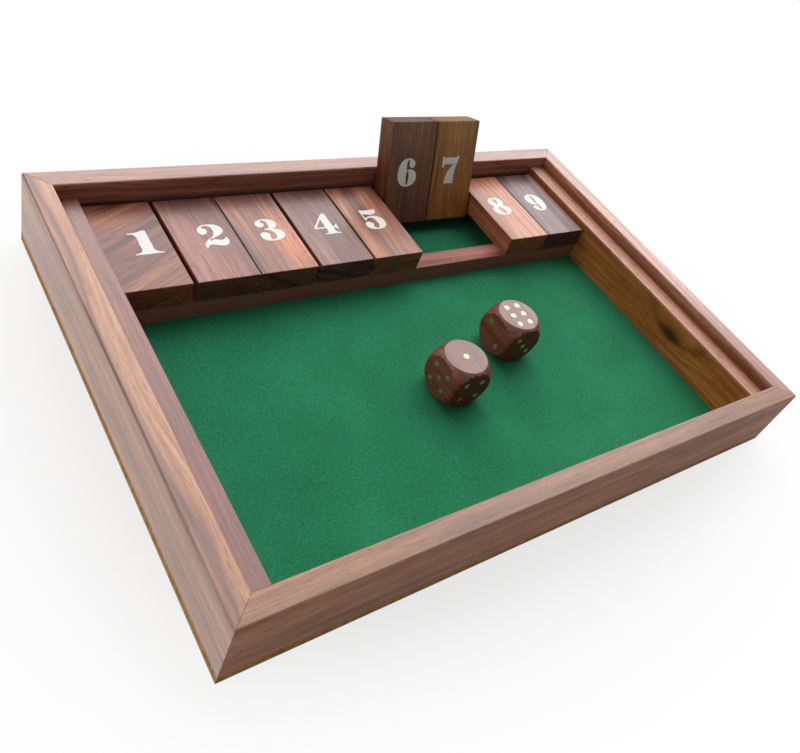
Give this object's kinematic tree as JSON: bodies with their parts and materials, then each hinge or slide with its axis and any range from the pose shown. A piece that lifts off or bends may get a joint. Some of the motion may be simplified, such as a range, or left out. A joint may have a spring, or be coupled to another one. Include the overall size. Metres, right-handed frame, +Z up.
{
  "type": "shut the box game",
  "caption": "Open mitred hardwood game tray with a green felt floor, a row of hinged number tiles on one rod and two loose wooden dice.",
  "frame": {"origin": "centre of the underside, on the surface that the tray stands on", "axes": "+X along the row of tiles to the right, +Y from the player's side to the hinge side, +Z up"},
  "size_m": [0.305, 0.212, 0.0628],
  "materials": {
    "rail_wood": "satin rosewood, oiled",
    "cheek_wood": "satin rosewood, oiled",
    "tile_wood": "satin rosewood, oiled",
    "rest_wood": "satin rosewood, oiled",
    "dice_wood": "satin rosewood, turned",
    "plywood": "sawn plywood edge",
    "green_felt": "pressed felt",
    "green_baize": "thin baize",
    "steel_rod": "drawn rod",
    "pin_steel": "bright wire",
    "pip_brass": "sanded flush"
  },
  "bodies": {
    "tray": {"front_rail": "rail_wood", "right_rail": "rail_wood", "back_rail": "rail_wood", "left_rail": "rail_wood", "left_cheek": "cheek_wood", "right_cheek": "cheek_wood", "base_board": "plywood", "base_baize": "green_baize", "felt_lining": "green_felt", "tile_rest": "rest_wood", "hinge_rod": "steel_rod", "base_pins": "pin_steel"},
    "tile_1": {"number_tile_1": "tile_wood"},
    "tile_2": {"number_tile_2": "tile_wood"},
    "tile_3": {"number_tile_3": "tile_wood"},
    "tile_4": {"number_tile_4": "tile_wood"},
    "tile_5": {"number_tile_5": "tile_wood"},
    "tile_6": {"number_tile_6": "tile_wood"},
    "tile_7": {"number_tile_7": "tile_wood"},
    "tile_8": {"number_tile_8": "tile_wood"},
    "tile_9": {"number_tile_9": "tile_wood"},
    "die_near": {"die_near": "dice_wood", "die_near_pips": "pip_brass"},
    "die_far": {"die_far": "dice_wood", "die_far_pips": "pip_brass"}
  },
  "joints": [
    {"name": "tile_1_hinge", "type": "hinge", "parent": "tray", "child": "tile_1", "pos_m": [-0.1186, 0.0848, 0.0194], "axis": [-1, 0, 0], "range_deg": [0, 110.67]},
    {"name": "tile_2_hinge", "type": "hinge", "parent": "tray", "child": "tile_2", "pos_m": [-0.0883, 0.0848, 0.0194], "axis": [-1, 0, 0], "range_deg": [0, 110.67]},
    {"name": "tile_3_hinge", "type": "hinge", "parent": "tray", "child": "tile_3", "pos_m": [-0.0596, 0.0848, 0.0194], "axis": [-1, 0, 0], "range_deg": [0, 110.67]},
    {"name": "tile_4_hinge", "type": "hinge", "parent": "tray", "child": "tile_4", "pos_m": [-0.0295, 0.0848, 0.0194], "axis": [-1, 0, 0], "range_deg": [0, 110.67]},
    {"name": "tile_5_hinge", "type": "hinge", "parent": "tray", "child": "tile_5", "pos_m": [0, 0.0848, 0.0194], "axis": [-1, 0, 0], "range_deg": [0, 110.67]},
    {"name": "tile_6_hinge", "type": "hinge", "parent": "tray", "child": "tile_6", "pos_m": [0.0301, 0.0848, 0.0194], "axis": [-1, 0, 0], "range_deg": [-110.67, 0]},
    {"name": "tile_7_hinge", "type": "hinge", "parent": "tray", "child": "tile_7", "pos_m": [0.0592, 0.0848, 0.0194], "axis": [-1, 0, 0], "range_deg": [-110.67, 0]},
    {"name": "tile_8_hinge", "type": "hinge", "parent": "tray", "child": "tile_8", "pos_m": [0.0892, 0.0848, 0.0194], "axis": [-1, 0, 0], "range_deg": [0, 110.67]},
    {"name": "tile_9_hinge", "type": "hinge", "parent": "tray", "child": "tile_9", "pos_m": [0.1181, 0.0848, 0.0194], "axis": [-1, 0, 0], "range_deg": [0, 110.67]},
    {"name": "die_near_lift", "type": "slide", "parent": "tray", "child": "die_near", "axis": [0, 0, 1], "range_m": [0, 0.06]},
    {"name": "die_far_lift", "type": "slide", "parent": "tray", "child": "die_far", "axis": [0, 0, 1], "range_m": [0, 0.06]}
  ]
}
